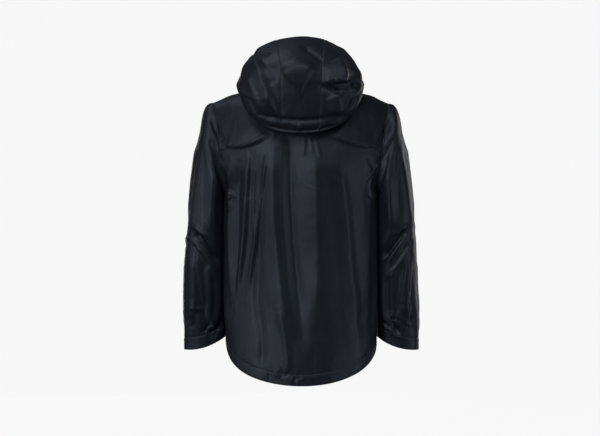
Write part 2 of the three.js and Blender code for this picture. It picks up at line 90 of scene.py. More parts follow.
# Hood arches from the face edge to the neck seam: centreline y z, foot x y z, half width, strip half width.
HOOD = np.array([
    [-122, 122, 10, -103, 74, 90, 60],
    [-84, 152, 34, -96, 66, 108, 66],
    [-28, 169, 56, -76, 58, 124, 69],
    [36, 173, 72, -46, 48, 136, 68],
    [102, 156, 81, -12, 40, 147, 66],
    [168, 123, 82, 15, 36, 157, 62],
    [208, 78, 78, 38, 32, 164, 58],
    [206, 10, 70, 56, 25, 166, 54],
    [194, -50, 59, 70, 18, 156, 52],
    [178, -94, 45, 81, 12, 136, 46],
    [160, -88, 31, 88, 8, 110, 40],
    [128, -40, 17, 92, 6, 60, 26],
    [106, -12, 11, 94, 5, 24, 11],
], float)

# Sleeve rings from the armhole to the cuff: outer x z, inner x z, half depth, forward shift.
SLEEVE = np.array([
    [237, -3, 207, -268, 73, 0],
    [262, -32, 208, -272, 76, 0],
    [276, -92, 209, -277, 77, 1],
    [287, -150, 209, -284, 76, 2],
    [298, -232, 209, -300, 73, 4],
    [307, -320, 208, -340, 69, 7],
    [313, -395, 207, -400, 65, 10],
    [317, -480, 207, -478, 60, 19],
    [319, -570, 207, -555, 53, 29],
    [319.5, -645, 208, -603, 44, 36],
    [319.5, -677, 209, -632, 42, 38],
], float)
ELBOW_RING = 6.0
CUFF_RING = 9.0
LAST_RING = 10.0
CUFF_LEVEL = 2.4
CUFF_SINK = 8.0
LAST_ARCH = 12.0
HOOD_TAPER = 0.05
REAR_LOCK = (6.68, -0.36)                       # where the rear cord lock sits on the hood
REAR_LOCK_SHIFT = np.array([-2.8, -1.0, -4.0])  # brings the cloth there back to the lock's base


# ---- Surface formulas ----
def lerp(a, b, t):
    return a + (b - a) * t


def smooth(t):
    c = np.clip(t, 0, 1)
    return c * c * (3 - 2 * c)


def power(value, exponent):
    return np.sign(value) * np.abs(value) ** exponent


def between(rows, position):
    """Catmull-Rom interpolation through rows of numbers, for an array of positions."""
    last = len(rows) - 1
    i = np.clip(np.floor(position).astype(int), 0, last - 1)
    t = (position - i)[..., None]
    a, b = rows[np.clip(i - 1, 0, last)], rows[i]
    d, e = rows[i + 1], rows[np.clip(i + 2, 0, last)]
    return b + 0.5 * t * (d - a + t * (2 * a - 5 * b + 4 * d - e + t * (3 * (b - d) + e - a)))


def ridge_height(x):
    return 38 - 0.05 * x - 0.00052 * x * x + 4 * smooth((x - 110) / 60) - 9 * smooth((x - 185) / 50)


def half_depth(face, z):
    if face < 0:
        return ZIP_DEPTH - ZIP_LEAN * z
    waist = np.exp(-(((z + 450) / 170) ** 2))
    return 146 - 18 * waist - 8 * smooth((ROLL_Z - z) / 500)


def hem_height(face, s):
    drop = BACK_DROP if face > 0 else FRONT_DROP
    return SIDE_HEM_Z - drop * np.maximum(0, np.cos(np.abs(s) * math.pi / 2)) ** HEM_ROUND


def body_point(face, s, v):
    """s is -1 to 1 from side seam to side seam; v is -1 at the hem, 0 at the underarm, 1 on the shoulder."""
    s, v = np.broadcast_arrays(np.asarray(s, float), np.asarray(v, float))
    a, side = np.abs(s), np.sign(s)
    angle = a * math.pi / 2
    z_low = lerp(UNDERARM_Z, hem_height(face, s), -np.minimum(v, 0))
    drop = (UNDERARM_Z - z_low) / (UNDERARM_Z - SIDE_HEM_Z)
    x_low = lerp(HALF_WIDTH_TOP, HALF_WIDTH_HEM, drop) * np.sin(angle)
    y_low = face * half_depth(face, z_low) * np.maximum(0, np.cos(angle)) ** ROUND
    phi = math.pi * (1 - np.maximum(v, 0))
    rise = (1 + np.cos(phi)) / 2
    arm_x = HALF_WIDTH_TOP + (ARM_X_TOP - HALF_WIDTH_TOP) * rise**1.3
    arm_angle = np.arccos(ARM_CUT * np.where(phi > math.pi / 2, np.sin(phi), 1))
    turn = a * arm_angle
    spread = arm_x / np.sin(arm_angle)
    spread = HALF_WIDTH_TOP + (spread - HALF_WIDTH_TOP) * smooth(rise / WIDEN_OVER)
    x = spread * np.sin(turn)
    neck = np.minimum(1, x / NECK_X)
    neck_z = NECK_SIDE_Z * neck**2.5 if face > 0 else lerp(NECK_FRONT_Z, NECK_SIDE_Z, neck**2)
    top = np.where(x < NECK_X, neck_z, ridge_height(x))
    z = lerp(UNDERARM_Z, top, rise)
    climb = np.clip((z - ROLL_Z) / (ridge_height(x) - ROLL_Z), 0, 1)
    roll = np.sqrt(1 - climb * climb)
    if face < 0:
        roll = lerp(1, roll, smooth(x / NECK_X))
    y = face * half_depth(face, z) * np.maximum(0, np.cos(turn)) ** ROUND * roll
    if face > 0:
        beside = smooth((a - 0.72) / 0.16) * (1 - smooth((a - 0.93) / 0.07))
        x_low = x_low + SIDE_SWELL * beside * smooth((z_low + 640) / 60)
        x = x + SIDE_SWELL * beside * (1 - smooth(rise / 0.1))
    low = v <= 0
    return np.stack([side * np.where(low, x_low, x), np.where(low, y_low, y), np.where(low, z_low, z)], -1)


TOP_ARM_ANGLE = math.acos(ARM_CUT)
NECK_S = math.asin(NECK_X * math.sin(TOP_ARM_ANGLE) / ARM_X_TOP) / TOP_ARM_ANGLE


def back_yoke_v(s):
    out = np.maximum(0, (np.abs(s) - NECK_S) / (1 - NECK_S))
    return 1 - (BACK_YOKE_ANGLE - BACK_YOKE_RISE * (1 - out) ** 4) / 180


def to_even(v):
    """Warps v so that equal steps are equal heights in the lower half of the armhole."""
    return np.where((v > 0) & (v < 0.5), (1 - np.cos(math.pi * np.clip(v, 0, 0.5))) / 2, v)


def from_even(q):
    return np.where((q > 0) & (q < 0.5), np.arccos(1 - 2 * np.clip(q, 0, 0.5)) / math.pi, q)


def back_band(s):
    return -1 + HEM_BAND / (UNDERARM_Z - hem_height(1, s))


def front_band(s):
    return -1 + HEM_BAND / (UNDERARM_Z - hem_height(-1, s))


def level(value):
    return lambda place: np.full_like(place, value)


def sleeve_point(side, ring, phi):
    """phi is 0 on the outside of a ring, 90 degrees at the back and 180 at the body side."""
    ring, phi = np.broadcast_arrays(np.asarray(ring, float), np.asarray(phi, float))
    ox, oz, ix, iz, depth, forward = np.moveaxis(between(SLEEVE, ring), -1, 0)
    ix = ix - SLEEVE_TUCK
    along = power(np.cos(phi), ROUND)
    share = (1 + along) / 2
    share = lerp(share, 1 - (1 - share) ** CUFF_LEVEL, smooth((ring - ELBOW_RING) / 4))
    point = np.stack([
        (ox + ix) / 2 + (ox - ix) / 2 * along,
        depth * power(np.sin(phi), ROUND) - forward,
        lerp(iz - CUFF_SINK * smooth((ring - ELBOW_RING) / 4), oz, share),
    ], -1)
    turn = np.mod(phi, 2 * math.pi)
    back = turn <= math.pi
    v = np.clip(1 - np.where(back, turn, 2 * math.pi - turn) / math.pi, 1e-4, 0.9999)
    armhole = np.where(back[..., None], body_point(1, 1.0, v), body_point(-1, 1.0, v))
    armhole = armhole + ring[..., None] * 20 * np.array([1, 0, -0.12])
    join = smooth(ring / 2)[..., None]
    return (armhole + (point - armhole) * join) * np.array([side, 1, 1])


def forearm_back_seam(ring):
    return np.radians(lerp(64, 98, smooth((ring - ELBOW_RING) / 3)))


def forearm_front_seam(ring):
    return np.radians(lerp(-62, -84, smooth((ring - ELBOW_RING) / 3)))


def hood_point(a, b):
    """a is the arch, 0 at the face edge; b runs over it from the right foot, -1, to the left, 1."""
    a, b = np.broadcast_arrays(np.asarray(a, float), np.asarray(b, float))
    gy, gz, fx, fy, fz, width, _ = np.moveaxis(between(HOOD, np.maximum(a, 0)), -1, 0)
    tuck = np.arccos(np.minimum(0.999, fx / width))
    beta = math.pi / 2 - np.abs(b) * (math.pi / 2 + tuck)
    height = np.where(
        beta >= 0,
        HOOD_HIP + (1 - HOOD_HIP) * np.sin(beta),
        HOOD_HIP * (1 + np.sin(beta) / np.sin(tuck)),
    )
    rise = fz + (gz - fz) * height
    across = np.sign(b) * width * np.cos(beta) * (1 - HOOD_TAPER * smooth((rise - 20) / 70))
    point = np.stack([across, fy + (gy - fy) * height, rise], -1)
    fixed = np.exp(-((((a - REAR_LOCK[0]) / 0.55) ** 2 + ((b - REAR_LOCK[1]) / 0.13) ** 2) ** 2))
    point = point + REAR_LOCK_SHIFT * fixed[..., None]
    if np.any(a < 0):
        behind = hood_point(np.full(a.shape, 0.2), b)
        point = point + (point - behind) * (-np.minimum(a, 0) / 0.2)[..., None]
    return point


def strip_edge(a):
    rows = between(HOOD, np.maximum(a, 0))
    fx, width, strip = rows[..., 2], rows[..., 5], rows[..., 6]
    tuck = np.arccos(np.minimum(0.999, fx / width))
    beta = np.arccos(np.minimum(0.98, strip / width))
    return (math.pi / 2 - beta) / (math.pi / 2 + tuck)


# ---- Folds ----
CREST = 0.07
FOOT = 0.2
FOLD_GAIN = 1.6


class Folds:
    """Creases laid on one face of the jacket. Each has a start, a middle and an end in the plane that
    the face is seen in, a half width and a height, all in millimetres."""

    def __init__(self, axes, facing):
        self.axes = axes
        self.facing = np.array(facing, float)
        self.creases = []

    def add(self, start, middle, end, width, height, sharp=1.0):
        self.creases.append((np.array([start, middle, end], float), width, height, sharp))

    def straight(self, start, end, width, height, sharp=1.0):
        middle = ((start[0] + end[0]) / 2, (start[1] + end[1]) / 2)
        self.add(start, middle, end, width, height, sharp)

    def lay(self, *rows, side=1):
        """Each row is what add takes, or straight where it has only two points. Side -1 mirrors x."""
        for row in rows:
            row = [(side * v[0], v[1]) if isinstance(v, tuple) else v for v in row]
            (self.add if isinstance(row[2], tuple) else self.straight)(*row)

    def crumple(self, centre, spread, count, length, width, height, lean):
        """A cluster of short creases round a point, all leaning about one way."""
        for _ in range(count):
            spot = np.array(centre) + RNG.normal(0, 1, 2) * np.array(spread)
            angle = math.radians(lean + RNG.normal(0, 28))
            half = length * RNG.uniform(0.5, 1.1) / 2 * np.array([math.cos(angle), math.sin(angle)])
            bow = np.array([-half[1], half[0]]) * RNG.uniform(-0.35, 0.35)
            self.add(spot - half, spot + bow, spot + half, width * RNG.uniform(0.7, 1.3),
                     height * RNG.choice([-1, 1]) * RNG.uniform(0.5, 1.1), RNG.uniform(0.45, 1))

    def height(self, points, normals):
        plane = points[:, self.axes]
        total = np.zeros(len(points))
        shown = smooth((normals @ self.facing - 0.05) / 0.45)
        for (start, middle, end), width, height, sharp in self.creases:
            margin = 2.4 * width * max(1, sharp)
            low = np.minimum(np.minimum(start, middle), end) - margin
            high = np.maximum(np.maximum(start, middle), end) + margin
            near = np.flatnonzero(np.all((plane > low) & (plane < high), axis=1) & (shown > 0))
            if not len(near):
                continue
            p = plane[near]
            best = np.full(len(p), 1e9)
            signed = np.zeros(len(p))
            along = np.zeros(len(p))
            turns = np.linspace(0, 1, 9)
            control = 2 * middle - (start + end) / 2
            path = [(1 - t) ** 2 * start + 2 * t * (1 - t) * control + t * t * end for t in turns]
            for k in range(len(path) - 1):
                edge = path[k + 1] - path[k]
                t = np.clip((p - path[k]) @ edge / max(edge @ edge, 1e-9), 0, 1)
                away = p - path[k] - t[:, None] * edge
                distance = np.hypot(away[:, 0], away[:, 1])
                closer = distance < best
                cross = edge[0] * away[:, 1] - edge[1] * away[:, 0]
                best = np.where(closer, distance, best)
                signed = np.where(closer, distance * np.sign(cross), signed)
                along = np.where(closer, (k + t) / (len(path) - 1), along)
            taper = (0.3 + 0.7 * smooth(along / 0.14)) * (0.12 + 0.88 * smooth((1 - along) / 0.3))
            reach = np.where(signed > 0, width, width * sharp)
            flank = 1 + CREST - np.sqrt((best / reach / 1.25) ** 2 + CREST**2)
            total[near] += height * taper * (flank + np.sqrt(flank**2 + FOOT**2)) / 2 * shown[near]
        return total


BACK = Folds([0, 2], (0, 1, 0))
FRONT = Folds([0, 2], (0, -1, 0))
LEFT = Folds([1, 2], (1, 0, 0))
RIGHT = Folds([1, 2], (-1, 0, 0))
HOOD_BACK = Folds([0, 2], (0, 0.95, 0.3))
HOOD_LEFT = Folds([1, 2], (1, 0, 0))
HOOD_RIGHT = Folds([1, 2], (-1, 0, 0))


def lay_body_folds():
    """The long folds that hang from the yoke seams, on the back as seen from behind."""
    BACK.lay(
        ((188, -160), (190, -360), (186, -560), 13, 5, 0.7), ((166, -170), (170, -370), (178, -545), 8, -4),
        ((140, -158), (150, -360), (178, -556), 13, 6, 0.5),
        ((89, -158), (116, -350), (146, -545), 7, 4, 0.35),
        ((100, -200), (112, -400), (120, -640), 12, -3.5), ((70, -132), (65, -378), (26, -700), 40, 8, 0.7),
        ((30, -120), (24, -360), (-8, -660), 16, -5), ((50, -150), (44, -340), (24, -560), 6, 2.2, 0.5),
        ((120, -170), (124, -300), (112, -460), 7, 2.5, 0.5),
        ((-36, -112), (-44, -380), (-40, -640), 34, 9.5, 3.0),
        ((-98, -150), (-126, -410), (-156, -720), 26, 4, 0.55),
        ((-186, -160), (-180, -380), (-176, -640), 30, 3, 0.6), ((60, -560), (40, -650), (34, -740), 10, 3),
        ((112, -560), (104, -650), (106, -726), 11, -3), ((204, -122), (146, -124), (78, -94), 7, 4.5, 7),
        ((-78, -94), (-146, -124), (-204, -122), 7, 4.5, 7), ((-24, -108), (-30, -150), 4, 1.8),
        ((-10, -110), (-6, -160), 5, 1.8), ((-38, -112), (-52, -168), 5, 2.2))
    BACK.crumple((66, -732), (24, 8), 9, 36, 4, 1.5, 88)
    BACK.crumple((9, -746), (12, 5), 5, 28, 4, 1.5, 88)
    BACK.crumple((192, -230), (6, 40), 5, 60, 7, 1.8, 75)
    BACK.crumple((-192, -230), (6, 40), 5, 60, 7, 1.8, 105)
    for side in (1, -1):
        FRONT.lay(
            ((60, -110), (52, -360), (58, -660), 18, 4), ((95, -150), (104, -330), (92, -520), 13, -4),
            ((160, -170), (150, -350), (166, -600), 17, 5),
            ((186, -180), (178, -300), (184, -470), 9, -4), side=side)
        FRONT.crumple((side * 185, -240), (12, 40), 7, 60, 7, 3.0, 90 - side * 35)
        FRONT.crumple((side * 70, -30), (26, 22), 5, 44, 7, 2.4, 90 + side * 45)
        FRONT.crumple((side * 120, -640), (40, 20), 7, 44, 6, 2.2, 85)


def lay_sleeve_folds():
    """Streaks down the arms, creased elbows and gathered cuffs."""
    for side in (1, -1):
        BACK.lay(
            ((294, -120), (297, -250), (303, -385), 10, 3),
            ((262, -130), (262, -240), (268, -340), 16, -3.5),
            ((232, -190), (240, -280), (236, -360), 12, 3.5), ((288, -352), (210, -444), 20, -9, 0.25),
            ((292, -336), (246, -372), 9, 3.5, 0.4), ((298, -384), (238, -462), 14, -5, 0.3),
            ((296, -430), (288, -520), (297, -620), 14, 3.5, 0.6),
            ((268, -440), (258, -520), (262, -600), 12, -3),
            ((236, -470), (232, -540), (240, -600), 10, -3.5), side=side)
        BACK.crumple((side * 246, -618), (14, 14), 8, 44, 6, 2.8, 90 + side * 30)
        BACK.crumple((side * 288, -580), (10, 30), 4, 60, 8, 1.6, 95)
        FRONT.crumple((side * 262, -392), (22, 16), 7, 66, 9, 2.4, 12)
        FRONT.crumple((side * 262, -600), (20, 30), 6, 56, 8, 2.0, 90 - side * 30)
        FRONT.lay(
            ((250, -130), (254, -240), (262, -340), 14, 3.5),
            ((282, -430), (280, -520), (286, -610), 12, 3), side=side)
    BACK.lay(
        ((-210, -120), (-244, -44), 14, -5, 0.5), ((-212, -170), (-254, -96), 14, -4, 0.5),
        ((212, -120), (244, -48), 13, -4, 0.5), ((212, -170), (256, -104), 14, -3, 0.5))
    for arm in (LEFT, RIGHT):
        arm.lay(
            ((-6, -110), (-10, -230), (-18, -340), 18, 3.5), ((34, -130), (30, -240), (22, -350), 13, -3))
        arm.crumple((-8, -385), (34, 20), 5, 70, 10, 2.0, 12)
        arm.crumple((-36, -600), (26, 26), 5, 56, 8, 1.8, 80)
        arm.add((-30, -430), (-40, -520), (-46, -620), 12, 3)


def lay_hood_folds():
    """The hood stands empty: its crown hangs over its back, its left side hangs in long creases, and
    its right side is pinched at the cord lock."""
    HOOD_BACK.lay(
        ((50, 52), (4, 76), (-44, 60), 76, 8, 0.22), ((122, 104), (92, 34), (64, -62), 36, 11, 0.2),
        ((132, 54), (120, 10), (92, -44), 18, 4, 0.4), ((110, 96), (64, 30), 10, 4, 0.4),
        ((128, 112), (80, 122), 8, -4, 0.4), ((-10, 134), (-60, 96), 9, -4, 0.5),
        ((-96, 102), (-124, 38), 30, 7, 0.5), ((-120, 40), (-54, 36), 34, 10, 0.12),
        ((-46, 26), (-110, 12), 8, -6, 0.6), ((-88, 10), (-98, -20), (-96, -56), 24, 8, 1.2),
        ((104, -44), (0, -62), (-108, -44), 9, -5, 0.4), ((100, -80), (0, -106), (-108, -76), 22, -8, 0.8))
    HOOD_BACK.crumple((34, -80), (14, 4), 4, 24, 5, 1.8, 60)
    HOOD_BACK.crumple((-52, -81), (12, 4), 4, 24, 5, 1.8, 110)
    for cheek in (HOOD_LEFT, HOOD_RIGHT):
        cheek.lay(
            ((-60, 120), (20, 86), (120, 60), 16, -5), ((-40, 96), (40, 62), (150, 20), 14, 5, 0.6),
            ((-70, 86), (0, 62), (60, 40), 12, -5), ((40, 140), (110, 96), (170, 20), 16, 4))
        cheek.crumple((60, 50), (40, 16), 5, 76, 9, 2.4, 155)
        cheek.crumple((150, -20), (20, 26), 4, 60, 9, 2.4, 120)


lay_body_folds()
lay_sleeve_folds()
lay_hood_folds()

WAVE_RNG = np.random.default_rng(11)
WAVES = [(WAVE_RNG.normal(0, 1, 3), WAVE_RNG.uniform(0, 2 * math.pi), k) for k in range(4) for _ in range(6)]


def ripple(points, stretch):
    """A gentle seeded unevenness, longer downwards than across; stretch is that ratio. The shorter
    waves have sharp crests, as crinkled laminate has."""
    total = np.zeros(len(points))
    scaled = points * np.array([1, 1, 1 / stretch])
    drift = (1.3 * np.sin(points @ np.array([0.011, 0.016, 0.009]))
             + np.sin(points @ np.array([-0.02, 0.012, 0.017])))
    for direction, phase, octave in WAVES:
        unit = direction / np.linalg.norm(direction)
        wave = np.sin(scaled @ unit * 2 * math.pi / (190 / 1.8**octave) + phase + drift)
        total += 0.7 * 0.42**octave * (wave if octave == 0 else 0.64 - np.sqrt(wave * wave + 0.01))
    return total


# ---- Panels ----
EDGE_STEPS = [0, 0.9, 1.9, 3.0, 4.2, 6.5]
LAP_STEPS = [-7.0, -3.5, -0.7]
LAP_SINK = 1.6
STITCH_AT = 3      # the grid line, counted from the seam, that carries the stitches
STITCH_PITCH = 3.6
ALL_EDGES = ("u0", "u1", "v0", "v1")
NO_NODE = "-"      # for a cloth piece that stands for no CAD node


def grid_steps(length, edges, laps, step):
    """Shares of a length, close together beside the edges that carry a seam. A lapped edge goes on a
    little beyond the seam, under the neighbouring panel."""
    first, last = edges
    start = EDGE_STEPS if first else [0]
    end = EDGE_STEPS if last else [0]
    count = max(2, round((length - start[-1] - end[-1]) / step))
    middle = np.linspace(start[-1], length - end[-1], count + 1)
    before = LAP_STEPS if laps[0] else []
    after = LAP_STEPS if laps[1] else []
    return np.concatenate([before, start[:-1], middle, length - np.array(end[:-1][::-1]),
                           length - np.array(after[::-1])]) / length


def normals_of(grid):
    du = np.gradient(grid, axis=1)
    dv = np.gradient(grid, axis=0)
    normal = np.cross(du, dv)
    length = np.linalg.norm(normal, axis=-1, keepdims=True)
    return normal / np.maximum(length, 1e-9)


def surface_normals(point_at, u, v):
    """Normals from the surface formula, so two panels that share a seam agree along it."""
    step = 0.002
    across = point_at(u + step, v) - point_at(u - step, v)
    upwards = point_at(u, v + step) - point_at(u, v - step)
    normal = np.cross(across, upwards)
    return normal / np.maximum(np.linalg.norm(normal, axis=-1, keepdims=True), 1e-9)


def arc(grid, axis):
    """Length along each grid line up to each point, in millimetres."""
    step = np.linalg.norm(np.diff(grid, axis=axis), axis=-1)
    pad = np.zeros_like(np.take(step, [0], axis=axis))
    return np.cumsum(np.concatenate([pad, step], axis=axis), axis=axis)


def seam_relief(distance, position, pucker):
    """Height beside a seam: a groove at it, a sunk row of stitches, and puckers that fade inwards."""
    groove = -0.9 * np.exp(-((distance / 1.3) ** 2))
    row = -0.35 * np.exp(-(((distance - 3.0) / 0.9) ** 2))
    wave = np.sin(position * 0.52 + 1.7 * np.sin(position * 0.11)) * np.sin(position * 0.173 + 0.6)
    return groove + row + pucker * wave * np.exp(-np.abs(distance) / 9) * smooth(distance / 2.5)


def stitches(line, normal, start_index):
    """Thread dashes along a row of points: small closed bars. Returns vertices and faces."""
    step = np.linalg.norm(np.diff(line, axis=0), axis=1)
    place = np.concatenate([[0], np.cumsum(step)])
    dash, half, rise = 2.5, 0.28, 0.34
    count = int(place[-1] / STITCH_PITCH)
    verts, faces = [], []
    for k in range(count):
        at = (k + 0.5) * place[-1] / count
        ends = np.stack([np.interp([at - dash / 2, at + dash / 2], place, line[:, c]) for c in range(3)], -1)
        up = np.array([np.interp(at, place, normal[:, c]) for c in range(3)])
        along = ends[1] - ends[0]
        side = np.cross(up, along)
        side *= half / max(np.linalg.norm(side), 1e-9)
        base = start_index + len(verts)
        for end, tuck in ((ends[0], -0.1), (ends[0] + along * 0.3, rise), (ends[0] + along * 0.7, rise),
                          (ends[1], -0.1)):
            verts.append(end + up * (tuck - 0.1) - side)
            verts.append(end + up * (tuck + 0.25))
            verts.append(end + up * (tuck - 0.1) + side)
        for ring in range(3):
            a = base + 3 * ring
            for c in range(3):
                d = (c + 1) % 3
                faces.append((a + c, a + d, a + 3 + d, a + 3 + c))
        faces.append((base + 2, base + 1, base))
        faces.append((base + 9, base + 10, base + 11))
    return verts, faces


def trim_boxes():
    """Boxes round the hard trim that keeps its CAD shape, where the cloth lies flat."""
    slots = {row["node"]: row["material_slot"] for row in frame["record"]["subparts"]}
    boxes = []
    for name, obj in frame["nodes"].items():
        if slots[name] in ("slider_metal", "moulded_trim") and "tab" not in name and "patch" not in name:
            corners = np.array([obj.matrix_world @ v.co for v in obj.data.vertices]) / MM
            corners = corners + np.array([0, LOOP_Y, 0])
            boxes.append((corners.min(0), corners.max(0)))
    return boxes


def calm(points):
    """0 at the trim, rising to 1 away from it."""
    share = np.ones(len(points))
    for low, high in TRIM:
        outside = np.maximum(0, np.maximum(low - points, points - high))
        share = np.minimum(share, smooth((np.linalg.norm(outside, axis=1) - 2) / 16))
    return share


TRIM = trim_boxes()


def to_frame(points):
    return (np.asarray(points, float) - np.array([0, LOOP_Y, 0])) * MM


def mesh_object(name, verts, faces, materials, face_slots, uv=None, wear=None, sharp=None):
    mesh = bpy.data.meshes.new(name)
    mesh.from_pydata([tuple(v) for v in verts], [], faces)
    for material in materials:
        mesh.materials.append(material)
    mesh.polygons.foreach_set("material_index", np.asarray(face_slots, np.int32))
    mesh.polygons.foreach_set("use_smooth", np.ones(len(mesh.polygons), bool))
    loops = np.zeros(len(mesh.loops), np.int32)
    mesh.loops.foreach_get("vertex_index", loops)
    if uv is not None:
        layer = mesh.uv_layers.new(name="cloth")
        layer.data.foreach_set("uv", np.asarray(uv, np.float32)[loops].ravel())
    if wear is not None:
        attribute = mesh.attributes.new("wear", "FLOAT", "POINT")
        attribute.data.foreach_set("value", np.asarray(wear, np.float32))
    if sharp is not None:
        ends = np.zeros(len(mesh.edges) * 2, np.int32)
        mesh.edges.foreach_get("vertices", ends)
        ends = ends.reshape(-1, 2)
        hard = sharp[ends[:, 0]] & sharp[ends[:, 1]]
        attribute = mesh.attributes.new("sharp_edge", "BOOLEAN", "EDGE")
        attribute.data.foreach_set("value", hard)
    mesh.validate()
    mesh.update()
    obj = bpy.data.objects.new(name, mesh)
    bpy.context.scene.collection.objects.link(obj)
    return obj


def panel(name, point_at, outward, lengths, seams, folds, body="torso", *, node=None, blend=None,
          cloth=CLOTH, lift=0.0, relief=1.0, stretch=3.0, pucker=0.55, step=GRID, outer="shell",
          inner="lining", slot="shell_cloth", turned=0.0, laps=(), tunnel=None):
    """One cloth panel as a closed sheet. point_at(u, v) gives millimetres for shares u and v, and lengths
    are its rough sides; seams names the edges u0, u1, v0, v1 that are sewn or hemmed; folds are the crease
    sets that it takes; node is the CAD node it replaces, if that isn't called name; turned, how much of
    the flat cut's height is folded under, is not used; laps names the edges that go on under a neighbour;
    tunnel(u, v) is how far in from the design surface the inner wall must reach, to take in a cord."""
    us = grid_steps(lengths[0], ("u0" in seams, "u1" in seams), ("u0" in laps, "u1" in laps), step)
    vs = grid_steps(lengths[1], ("v0" in seams, "v1" in seams), ("v0" in laps, "v1" in laps), step)
    skip = {edge: len(LAP_STEPS) * (edge in laps) for edge in ALL_EDGES}
    u, v = np.meshgrid(us, vs)
    base = point_at(u, v)
    normal = surface_normals(point_at, u, v) * outward
    rows, columns = u.shape
    flat_points, flat_normals = base.reshape(-1, 3), normal.reshape(-1, 3)
    height = relief * ripple(flat_points, stretch)
    for fold in folds:
        height += relief * FOLD_GAIN * fold.height(flat_points, flat_normals)
    height = lift + height * calm(flat_points)
    along_u, along_v = arc(base, 1), arc(base, 0)
    away = {"u0": along_u - along_u[:, [skip["u0"]]], "u1": along_u[:, [-1 - skip["u1"]]] - along_u,
            "v0": along_v - along_v[[skip["v0"]]], "v1": along_v[[-1 - skip["v1"]]] - along_v}
    runs = {"u0": along_v, "u1": along_v, "v0": along_u, "v1": along_u}
    wear = np.zeros(u.shape)
    for edge in laps:
        height -= np.where(away[edge] < 0, LAP_SINK, 0).ravel()
    for edge in seams:
        height += seam_relief(away[edge], runs[edge], pucker).ravel()
        wear = np.maximum(wear, np.exp(-away[edge] / 2.2))
    outside = base + normal * height.reshape(u.shape)[..., None]
    skin = normals_of(outside) * outward
    wall = np.full(u.shape, cloth)
    if tunnel is not None:
        depth = tunnel(u, v)
        wall = np.maximum(wall, depth + height.reshape(u.shape) * np.minimum(1, depth))
    inside = outside - skin * wall[..., None]
    index = np.arange(rows * columns).reshape(rows, columns)
    quads = np.stack([index[:-1, :-1], index[:-1, 1:], index[1:, 1:], index[1:, :-1]], -1).reshape(-1, 4)
    if outward < 0:
        quads = quads[:, ::-1]
    total = rows * columns
    border = np.concatenate([index[0, :], index[1:, -1], index[-1, -2::-1], index[-2:0:-1, 0]])
    following = np.roll(border, -1)
    rim = np.stack([following, border, border + total, following + total], -1)
    if outward < 0:
        rim = rim[:, ::-1]
    faces = [tuple(f) for f in quads] + [tuple(f) for f in quads[:, ::-1] + total] + [tuple(f) for f in rim]
    face_slots = [0] * len(quads) + [1] * len(quads) + [0] * len(rim)
    verts = [*outside.reshape(-1, 3), *inside.reshape(-1, 3)]
    uv = np.stack([along_u.ravel(), along_v.ravel()], -1) * MM
    uvs, wears = [uv, uv], [wear.ravel(), np.zeros(total)]
    sharp = np.zeros(2 * total, bool)
    sharp[border] = True
    sharp[border + total] = True
    for edge in seams:
        at = STITCH_AT + skip[edge]
        row = {"u0": np.s_[:, at], "u1": np.s_[:, -1 - at], "v0": np.s_[at, :], "v1": np.s_[-1 - at, :]}[edge]
        added, thread = stitches(outside[row], skin[row], len(verts))
        verts += added
        faces += thread
        face_slots += [2] * len(thread)
        uvs.append(np.zeros((len(added), 2)))
        wears.append(np.zeros(len(added)))
        sharp = np.concatenate([sharp, np.zeros(len(added), bool)])
    obj = mesh_object(f"{name}_cloth", to_frame(verts), faces, [MATERIALS[outer], MATERIALS[inner],
                      MATERIALS["thread"]], face_slots, np.concatenate(uvs), np.concatenate(wears), sharp)
    if node != NO_NODE:
        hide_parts(node or name)
    if blend is None:
        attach(obj, body)
    else:
        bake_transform(obj)


# ---- Materials ----
MATERIALS = {}
WAVE_TURN = 6.283     # one band of the wave texture, in its own units
CRINKLE_DEPTH = 1.0
WORN_PALER = 2.2


def new_material(name, rough, **sockets):
    material = bpy.data.materials.new(name)
    material.use_nodes = True
    tree = material.node_tree
    shader = tree.nodes["Principled BSDF"]
    shader.inputs["Roughness"].default_value = rough
    for socket, value in sockets.items():
        shader.inputs[socket.replace("_", " ")].default_value = value
    MATERIALS[name] = material
    return tree, shader


def node(tree, kind, **values):
    made = tree.nodes.new(kind)
    for key, value in values.items():
        if key in made.inputs:
            made.inputs[key].default_value = value
        else:
            setattr(made, key, value)
    return made


def noise(tree, place, scale, detail, roughness):
    made = node(tree, "ShaderNodeTexNoise", Scale=scale, Detail=detail, Roughness=roughness)
    tree.links.new(place, made.inputs["Vector"])
    return made


def colour_ramp(tree, dark, light, low, high):
    ramp = node(tree, "ShaderNodeValToRGB")
    for element, place, colour in zip(ramp.color_ramp.elements, (low, high), (dark, light)):
        element.position = place
        element.color = (*colour, 1)
    return ramp


def vary_gloss(tree, shader, texture, low, high):
    shine = node(tree, "ShaderNodeMapRange")
    shine.inputs["To Min"].default_value = low
    shine.inputs["To Max"].default_value = high
    tree.links.new(texture.outputs["Fac"], shine.inputs["Value"])
    tree.links.new(shine.outputs[0], shader.inputs["Roughness"])


